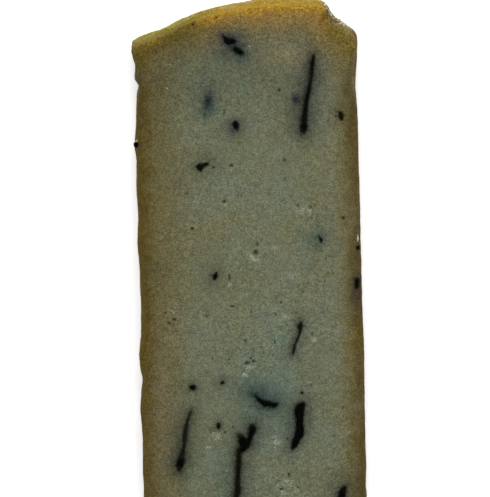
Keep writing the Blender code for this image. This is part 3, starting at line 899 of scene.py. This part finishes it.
def add_fringe(shape, path, rng):
    """Adds little bits that stand out along both edges of a shred."""
    line = spline(path)
    along = directions(line)
    for i in range(2, len(line) - 2):
        if rng.uniform() > FRINGE_SHARE:
            continue
        edge = rng.choice((-1, 1)) * line[i, 2] / 2 * rng.uniform(*FRINGE_PLACE)
        x, y = line[i, 0] + along[i, 1] * edge, line[i, 1] - along[i, 0] * edge
        width = rng.uniform(*FRINGE_BIT) * min(1, 0.5 + line[i, 2] / 2)
        shape.add_crumb(x, y, width, FRINGE_FLATNESS, rng)


def make_shreds(shift, surface):
    rng = np.random.default_rng(SEED + 2)
    for number, (name, (path, _)) in enumerate(SHREDS.items()):
        shape = Shape()
        shape.add_tube(shred_rings(path, 13.7 * number + 1))
        add_fringe(shape, path, rng)
        piece = shape.finished("shred_" + name, surface, "mushroom_shred", shift)
        width = width_near(np.array(shape.vertices), path)
        narrow = 1 - smooth_step(width, *BROWN_WIDTH)
        set_attribute(piece.data, "thin", 1 - smooth_step(width, *THIN_WIDTH))
        set_attribute(piece.data, "brown", SHRED_BROWN.get(name, 0) * narrow)


def make_edge_grain(shift, surface):
    """A grain of mushroom that stands out of the left rind."""
    shape = Shape()
    shape.add_lump(np.array(EDGE_GRAIN), EDGE_GRAIN_WIDTH, 1, 6.1)
    shape.finished("edge_grain", surface, "mushroom_shred", shift)


def link_crumbs(shape, name, surface, brightness, shift):
    piece = shape.finished(name, surface, "cheese_crumb", shift)
    set_attribute(piece.data, "bright", np.full(len(shape.vertices), brightness))


def make_crumbs(shift, surface):
    """Pale crumbs that catch the light, most of them where the knife tore the paste."""
    rng = np.random.default_rng(SEED + 1)
    shape = Shape()
    for x, y, width in FLECKS:
        shape.add_crumb(x, y, width, FLECK_FLATNESS, rng)
    for x, y, half_width, half_length, strength in TORN:
        for _ in range(round(CRUMBS_PER_AREA * half_width * half_length * strength)):
            across, along = rng.normal(0, 0.5, 2) * (half_width, half_length)
            width = rng.uniform(*CRUMB_WIDTH) * strength
            shape.add_crumb(x + across, y + along, width, CRUMB_FLATNESS, rng)
    link_crumbs(shape, "cheese_crumbs", surface, 0, shift)


def make_rim_flakes(shift, surface):
    """Pale flakes where a bit of the rim has torn off."""
    rng = np.random.default_rng(SEED + 3)
    shape = Shape()
    for x, z, width in RIM_FLAKES:
        place = np.array((x, BLOCK_HIGH[1] - rim_drop(x), z))
        shape.add_lump(place, width, 1, rng.uniform(*LUMP_SEEDS))
    link_crumbs(shape, "rim_flakes", surface, FLAKE_BRIGHTNESS, shift)


def make_sliver(shift, surface):
    """A pale sliver of rind that has come loose at the right edge."""
    shape = Shape()
    shape.add_tube(shred_rings(SLIVER, 77.7))
    link_crumbs(shape, "rind_sliver", surface, SLIVER_BRIGHTNESS, shift)


# ---- colours, on the screen's scale

STAIN_COLOURS = {
    "tan": (134, 122, 92),
    "ochre": (98, 86, 44),
    "honey": (84, 66, 4),
    "pale": (128, 122, 104),
    "mint": (112, 130, 112),
    "aqua": (88, 112, 104),
    "teal": (66, 92, 84),
    "violet": (40, 44, 52),
    "smoke": (38, 41, 36),
    "blue": (22, 38, 44),
    "olive": (38, 38, 18),
    "brown": (84, 60, 26),
    "umber": (23, 21, 12),
    "dark": (9, 11, 8),
}
# Painted shade for the bottoms of holes and for the small pits in the torn patches.
PAINTED_HOLE_SHADE = (40, 42, 28)
TORN_COLOUR = (158, 160, 138)
THIN_COLOUR = (34, 37, 26)

# Colours along a ramp, as (place from 0 to 1, colour).
PASTE_TINTS = [(0.32, (106, 105, 79)), (0.5, (106, 108, 86)), (0.68, (104, 109, 91))]
LEATHER_TINTS = [
    (0.34, (64, 50, 20)), (0.47, (82, 69, 29)), (0.56, (91, 75, 32)), (0.68, (104, 90, 48)),
]
BLACK_TINTS = [(0.3, (2, 3, 2)), (0.55, (6, 7, 5)), (0.8, (18, 15, 9))]
BROWN_TINTS = [(0.3, (18, 16, 6)), (0.7, (34, 31, 15))]
DULL_CRUMB_TINTS = [(0.3, (122, 124, 104)), (0.7, (178, 176, 156))]
BRIGHT_CRUMB_TINTS = [(0.35, (178, 164, 152)), (0.65, (244, 240, 226))]
# A faint change from warm to cool that the paste is multiplied by, as linear colours.
WARMTH = [(0.3, (0.99, 0.96, 0.93, 1)), (0.5, (0.97, 0.98, 0.97, 1)), (0.7, (0.94, 1, 1, 1))]

# Colours by depth, as (millimetres, colour): in from a flat rind, and back from the rim's foot.
LEFT_RIND_TINTS = [
    (0, (81, 69, 31)), (2.6, (83, 71, 33)), (4, (89, 79, 45)), (5.8, (95, 87, 56)),
    (9.3, (99, 94, 66)), (14.5, (101, 101, 77)), (18, (104, 107, 85)),
]
RIGHT_RIND_TINTS = [
    (0, (84, 72, 42)), (1.4, (81, 69, 38)), (2.8, (87, 77, 44)), (4.2, (97, 89, 58)),
    (5.8, (104, 99, 71)), (7.5, (106, 104, 80)), (18, (106, 108, 88)),
]
# The rim's ramps hold the rind's own orange, paler at depth 0 as a painted highlight along the
# rim's outer edge, and brighter over the face near the rim as a painted glow of light that the lit
# rim lets into the paste.
RIM_TINTS_WITH_PAINTED_LIGHT = [
    (0, (156, 138, 70)), (0.9, (146, 119, 34)), (1.7, (137, 109, 15)), (2.6, (146, 114, 27)),
    (3.4, (147, 113, 37)), (5.2, (130, 103, 49)), (7.5, (120, 102, 62)), (10.4, (108, 97, 63)),
    (14, (107, 102, 75)),
]
LEFT_RIM_TINTS_WITH_PAINTED_LIGHT = [
    (0, (148, 140, 74)), (0.9, (130, 119, 44)), (1.7, (107, 93, 18)), (2.6, (105, 89, 26)),
    (3.6, (93, 77, 26)), (5.2, (88, 76, 37)), (7.5, (91, 83, 52)), (10.4, (93, 88, 62)),
]
RIGHT_RIM_TINTS_WITH_PAINTED_LIGHT = [
    (0, (140, 130, 92)), (0.9, (116, 102, 50)), (1.7, (97, 80, 34)), (2.6, (109, 93, 44)),
    (4.1, (105, 88, 39)), (6.4, (105, 91, 42)), (8.7, (102, 90, 50)), (12, (101, 92, 58)),
]

RIND_REACH = 18  # how deep the colour of the flat rinds goes into the paste
RIM_REACH = 16  # how far the rim's colour and its painted glow go up its wall and along the face
MIDDLE = (-3, 3)  # where across the slice the left side's colours give way to the right side's
LEFT_RIM_END = (-18, -6)  # where the rim's left end gives way to its middle
RIGHT_RIM_END = (22, 25)
SIDE_FADE = (20, 10)  # how far the side colours go into the paste, on the left and the right
RIM_FADE = (8.5, 16)
SHADE_ALONG = (32, 66)  # where towards the rim the paste gets darker, and how dark
SHADE_TONE = 0.74
WANDER = 1.3  # how far the bands of colour wander in and out

STAIN_UNEVENNESS = (0.8, 1.15)
HOLE_SHADE_SHARE = 0.85
TORN_SHARE = 0.5
PIT_NOISE = (0.56, 0.66)
PIT_SHARE = 0.75
MOTTLE_TONES = (0.87, 1.17)
SPECK_TONES = (0.68, 1.44)
STREAK_TONES = (0.68, 1.34)
STREAK_FADE = (2, 6)  # the rim is streaky down to the first depth, and less so below
SCATTER = (1, 0.8, 0.4)  # how far light spreads under the surface, for red, green and blue

# ---- materials


class Shader:
    """A material and short calls for its nodes. Each input is a socket or a plain value."""

    def __init__(self, name):
        self.material = bpy.data.materials.new(name)
        self.material.use_nodes = True
        self.nodes = self.material.node_tree.nodes

    def feed(self, node, inputs):
        for key, value in inputs.items():
            if isinstance(value, bpy.types.NodeSocket):
                self.material.node_tree.links.new(value, node.inputs[key])
            else:
                node.inputs[key].default_value = value

    def node(self, kind, inputs, **settings):
        node = self.nodes.new("ShaderNode" + kind)
        for name, value in settings.items():
            setattr(node, name, value)
        self.feed(node, inputs)
        return node

    def mix(self, factor, first, second, blend="MIX"):
        inputs = {0: factor, 6: first, 7: second}
        return self.node("Mix", inputs, data_type="RGBA", blend_type=blend).outputs[2]

    def math(self, operation, first, second, clamp=False):
        inputs = {0: first, 1: second}
        return self.node("Math", inputs, operation=operation, use_clamp=clamp).outputs[0]

    def times(self, first, second, clamp=False):
        return self.math("MULTIPLY", first, second, clamp)

    def attribute(self, name):
        return self.node("Attribute", {}, attribute_name=name).outputs["Fac"]

    def place(self):
        """Where the surface is, in metres."""
        return self.node("TexCoord", {}).outputs["Object"]

    def noise(self, size, detail=2, rough=0.5):
        """Noise from 0 to 1, whose lumps are about size across."""
        inputs = {"Vector": self.place(), "Scale": 1 / (size * MM), "Detail": detail}
        return self.node("TexNoise", {**inputs, "Roughness": rough}).outputs["Fac"]

    def ramp(self, factor, stops):
        """A ramp through (place, linear colour) pairs."""
        node = self.node("ValToRGB", {0: factor})
        elements = node.color_ramp.elements
        while len(elements) < len(stops):
            elements.new(0.5)
        for element, (place, colour) in zip(elements, stops):
            element.position = place
            element.color = colour
        return node.outputs["Color"]

    def tints(self, factor, stops, reach=1):
        """A ramp through (place, screen colour) pairs, whose last place is at most reach."""
        return self.ramp(factor, [(place / reach, srgb(*colour)) for place, colour in stops])

    def tints_by_depth(self, depth, reach, stops):
        return self.tints(self.math("DIVIDE", depth, reach, True), stops, reach)

    def ease(self, value, low, high, to_low=0, to_high=1):
        """Goes smoothly from one number to another as a value goes from low to high."""
        inputs = {0: value, 1: low, 2: high, 3: to_low, 4: to_high}
        return self.node("MapRange", inputs, interpolation_type="SMOOTHSTEP").outputs[0]

    def grey(self, tone):
        """The same number in all three channels of a colour."""
        return self.node("CombineColor", {0: tone, 1: tone, 2: tone}).outputs[0]

    def darken(self, colour, tone):
        return self.mix(1, colour, tone, "MULTIPLY")

    def finished(self, heights, inputs):
        """The material, with fine relief from (height, distance) pairs and the surface's inputs."""
        normal = {}
        for height, distance in heights:
            bump = self.node("Bump", {"Height": height, "Distance": distance * MM, **normal})
            normal = {"Normal": bump.outputs["Normal"]}
        self.feed(self.nodes["Principled BSDF"], {**inputs, **normal})
        return self.material


def side_tint(shader, depth, across):
    """Olive brown that fades into the paste, farther in from the left rind than from the right."""
    left = shader.tints_by_depth(depth, RIND_REACH, LEFT_RIND_TINTS)
    right = shader.tints_by_depth(depth, RIND_REACH, RIGHT_RIND_TINTS)
    return shader.mix(shader.ease(across, *MIDDLE), left, right)


def rim_tint_with_painted_light(shader, depth, across):
    """Orange yellow in the middle of the rim, olive at its left end and paler at its right."""
    # The ramps paint a highlight at the rim's outer edge and a glow along the face near it.
    middle = shader.tints_by_depth(depth, RIM_REACH, RIM_TINTS_WITH_PAINTED_LIGHT)
    left = shader.tints_by_depth(depth, RIM_REACH, LEFT_RIM_TINTS_WITH_PAINTED_LIGHT)
    right = shader.tints_by_depth(depth, RIM_REACH, RIGHT_RIM_TINTS_WITH_PAINTED_LIGHT)
    tint = shader.mix(shader.ease(across, *LEFT_RIM_END), left, middle)
    return shader.mix(shader.ease(across, *RIGHT_RIM_END), tint, right)


def paste_colour(shader, across, along, wander):
    """The paste, darker towards the rim, with the brown bands along the flat rinds."""
    paste = shader.tints(shader.noise(14, 3), PASTE_TINTS)
    side = shader.math("ADD", shader.attribute("side_depth"), wander)
    share = shader.math("DIVIDE", side, shader.ease(across, *MIDDLE, *SIDE_FADE), True)
    share = shader.ease(share, 0.5, 1, 1, 0)
    colour = shader.mix(share, paste, side_tint(shader, side, across))
    return shader.darken(colour, shader.grey(shader.ease(along, *SHADE_ALONG, 1, SHADE_TONE)))


def add_marks(shader, colour, patches):
    """Lays stains, painted shade in holes and pits, and the torn patches over the colour."""
    for kind, tint in STAIN_COLOURS.items():
        uneven = shader.ease(patches, 0.2, 0.8, *STAIN_UNEVENNESS)
        share = shader.times(shader.attribute("stain_" + kind), uneven, True)
        colour = shader.mix(share, colour, srgb(*tint))
    hole, torn = shader.attribute("hole"), shader.attribute("torn")
    colour = shader.mix(shader.times(hole, HOLE_SHADE_SHARE), colour, srgb(*PAINTED_HOLE_SHADE))
    colour = shader.mix(shader.times(torn, TORN_SHARE), colour, srgb(*TORN_COLOUR))
    # Small pits in the torn patches have no relief of their own; their shade is painted.
    pit_shade = shader.ease(shader.noise(0.55, 1), *PIT_NOISE, 0, PIT_SHARE)
    return shader.mix(shader.times(torn, pit_shade), colour, srgb(*PAINTED_HOLE_SHADE))


def cheese_material():
    shader = Shader("cheese")
    split = shader.node("SeparateXYZ", {0: shader.place()})
    across, along = (shader.times(split.outputs[axis], 1 / MM) for axis in "XY")
    patches = shader.noise(4, 3)
    mottle = shader.noise(1.2, 3, 0.6)
    specks = shader.noise(0.4, rough=0.6)
    streaks = shader.noise(0.8, rough=0.7)
    rind = shader.attribute("rind")

    wander = shader.ease(patches, 0.2, 0.8, -WANDER, WANDER)
    colour = paste_colour(shader, across, along, wander)
    rim = shader.math("ADD", shader.attribute("rim_depth"), shader.times(wander, 0.5))
    # The rim's colour, with its painted highlight and glow, fades into the paste.
    rim_share = shader.ease(rim, *RIM_FADE, 1, 0)
    colour = shader.mix(rim_share, colour, rim_tint_with_painted_light(shader, rim, across))
    colour = shader.mix(rind, colour, shader.tints(shader.noise(5, 4, 0.6), LEATHER_TINTS))
    colour = add_marks(shader, colour, patches)

    colour = shader.darken(colour, shader.ramp(shader.noise(1.6, rough=0.6), WARMTH))
    on_rim = shader.ease(rim, *STREAK_FADE, 1, 0.3)
    streak_tone = shader.grey(shader.ease(streaks, 0.3, 0.7, *STREAK_TONES))
    coarse = shader.mix(on_rim, (1, 1, 1, 1), streak_tone)
    colour = shader.mix(rim_share, colour, shader.darken(colour, coarse))
    light = shader.ease(mottle, 0.3, 0.7, *MOTTLE_TONES)
    spark = shader.ease(specks, 0.3, 0.7, *SPECK_TONES)
    colour = shader.darken(colour, shader.grey(shader.times(light, spark)))

    return shader.finished([(mottle, 0.2), (specks, 0.14), (shader.times(streaks, rind), 0.4)], {
        "Base Color": colour, "Roughness": shader.ease(patches, 0.3, 0.7, 0.45, 0.62),
        "Subsurface Weight": 0.2, "Subsurface Radius": SCATTER, "Subsurface Scale": MM,
        "Specular IOR Level": 0.02,
    })


def shred_material():
    shader = Shader("mushroom_shred")
    fibres = shader.noise(0.8, 3, 0.6)
    black = shader.tints(fibres, BLACK_TINTS)
    brown = shader.tints(fibres, BROWN_TINTS)
    colour = shader.mix(shader.attribute("brown"), black, brown)
    thin = shader.times(shader.attribute("thin"), 0.8)
    colour = shader.mix(thin, colour, srgb(*THIN_COLOUR))
    return shader.finished(
        [(fibres, 0.15)], {"Base Color": colour, "Roughness": 0.75, "Specular IOR Level": 0.01})


def crumb_material():
    shader = Shader("cheese_crumb")
    patches = shader.noise(1)
    dull = shader.tints(patches, DULL_CRUMB_TINTS)
    bright = shader.tints(patches, BRIGHT_CRUMB_TINTS)
    colour = shader.mix(shader.attribute("bright"), dull, bright)
    return shader.finished([(patches, 0.1)], {
        "Base Color": colour, "Roughness": 0.6, "Specular IOR Level": 0.1,
        "Subsurface Weight": 0.2, "Subsurface Radius": SCATTER, "Subsurface Scale": 0.8 * MM,
    })


def floor_material():
    return Shader("floor").finished([], {
        "Base Color": (0.97, 0.97, 0.97, 1), "Roughness": 0.9, "Specular IOR Level": 0,
        "Emission Color": (1, 1, 1, 1), "Emission Strength": FLOOR_GLOW,
    })


# ---- stage


def make_floor():
    bm = bmesh.new()
    bmesh.ops.create_grid(bm, x_segments=1, y_segments=1, size=FLOOR_REACH)
    floor = link("floor", finished_mesh(bm, "floor", floor_material()))
    floor.location.z = -FLOOR_DROP * MM


def make_lamp(name, azimuth, elevation, distance, size, power):
    """A square soft light that shines at the slice."""
    data = bpy.data.lights.new(name, "AREA")
    data.size = size
    data.energy = power
    lamp = link(name, data)
    turn, tilt = math.radians(azimuth), math.radians(elevation)
    level = math.cos(tilt)
    away = Vector((math.sin(turn) * level, math.cos(turn) * level, math.sin(tilt)))
    lamp.location = away * distance
    lamp.rotation_mode = "QUATERNION"
    lamp.rotation_quaternion = away.to_track_quat("Z", "Y")


def make_world():
    world = bpy.data.worlds.new("studio")
    world.use_nodes = True
    background = world.node_tree.nodes["Background"]
    background.inputs["Color"].default_value = (1, 1, 1, 1)
    background.inputs["Strength"].default_value = WORLD_STRENGTH
    bpy.context.scene.world = world


def make_camera(shift):
    """A long lens above the slice, leaning a little over the rim's end."""
    back = Vector((0, math.sin(CAMERA_TILT), math.cos(CAMERA_TILT)))
    picture_up = Vector((0, math.cos(CAMERA_TILT), -math.sin(CAMERA_TILT)))
    across = Vector((1, 0, 0))
    right = across * math.cos(CAMERA_ROLL) - picture_up * math.sin(CAMERA_ROLL)
    up = across * math.sin(CAMERA_ROLL) + picture_up * math.cos(CAMERA_ROLL)
    aim = across * AIM_ACROSS + picture_up * AIM_ALONG + back * THICKNESS * math.cos(CAMERA_TILT)
    aim += Vector(shift)
    data = bpy.data.cameras.new("camera")
    data.lens = data.sensor_width * CAMERA_DISTANCE / (PHOTO_HEIGHT * MM_PER_PIXEL)
    data.clip_start = 0.1
    data.clip_end = 2 * CAMERA_DISTANCE * MM
    camera = link("camera", data)
    turn = Matrix((right, up, back)).transposed().to_4x4()
    camera.matrix_world = Matrix.Translation((aim + back * CAMERA_DISTANCE) * MM) @ turn
    bpy.context.scene.camera = camera


def main():
    bpy.context.scene.view_settings.view_transform = "Standard"
    shift = box_shift()
    make_camera(shift)
    make_slice(shift, cheese_material())
    black, pale = shred_material(), crumb_material()
    make_shreds(shift, black)
    make_edge_grain(shift, black)
    make_crumbs(shift, pale)
    make_rim_flakes(shift, pale)
    make_sliver(shift, pale)
    make_floor()
    for name, setting in LAMPS.items():
        make_lamp(name, *setting)
    make_world()


main()
